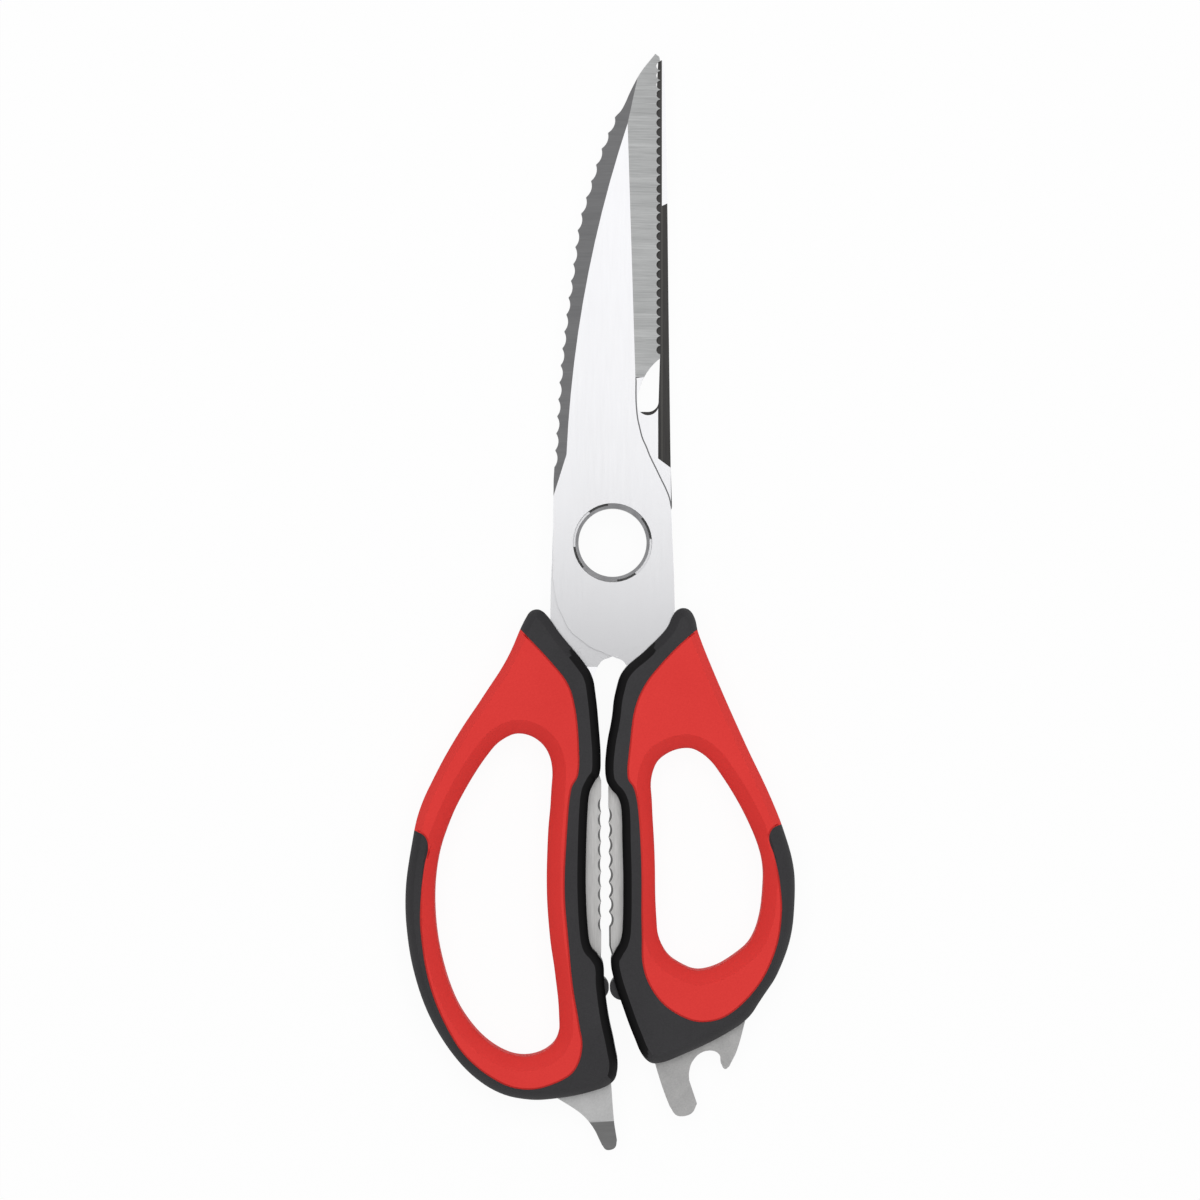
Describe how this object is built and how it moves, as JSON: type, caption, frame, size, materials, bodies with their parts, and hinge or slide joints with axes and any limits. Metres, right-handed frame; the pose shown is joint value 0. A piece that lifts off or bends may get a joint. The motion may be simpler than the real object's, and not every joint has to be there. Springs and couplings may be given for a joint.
{
  "type": "kitchen shears",
  "caption": "Multi-purpose kitchen shears with a scaling spine, serrated edge, bone notch, hollow pivot, toothed nut jaw, bottle opener, pry tip and two-tone loop handles.",
  "frame": {"origin": "on the pivot axis, in the plane where the two blades slide on each other", "axes": "+Y from the pivot to the blade tips, +X to the side of the small loop, +Z along the pivot axis, towards the front blade"},
  "size_m": [0.0833, 0.235, 0.0126],
  "materials": {
    "blade_steel": "satin polished faces, ground bevels",
    "pivot_steel": "turned",
    "hard_shell": "fine matte texture",
    "soft_grip": "soft-touch matte"
  },
  "bodies": {
    "right_half": {"front_blade": "blade_steel", "right_handle_core": "hard_shell", "right_soft_grip": "soft_grip"},
    "left_half": {"back_blade": "blade_steel", "pivot_hub": "pivot_steel", "left_handle_core": "hard_shell", "left_soft_grip": "soft_grip"}
  },
  "joints": [
    {"name": "blade_pivot", "type": "hinge", "parent": "right_half", "child": "left_half", "pos_m": [0, 0, 0], "axis": [0, 0, -1], "range_deg": [0, 80]}
  ]
}
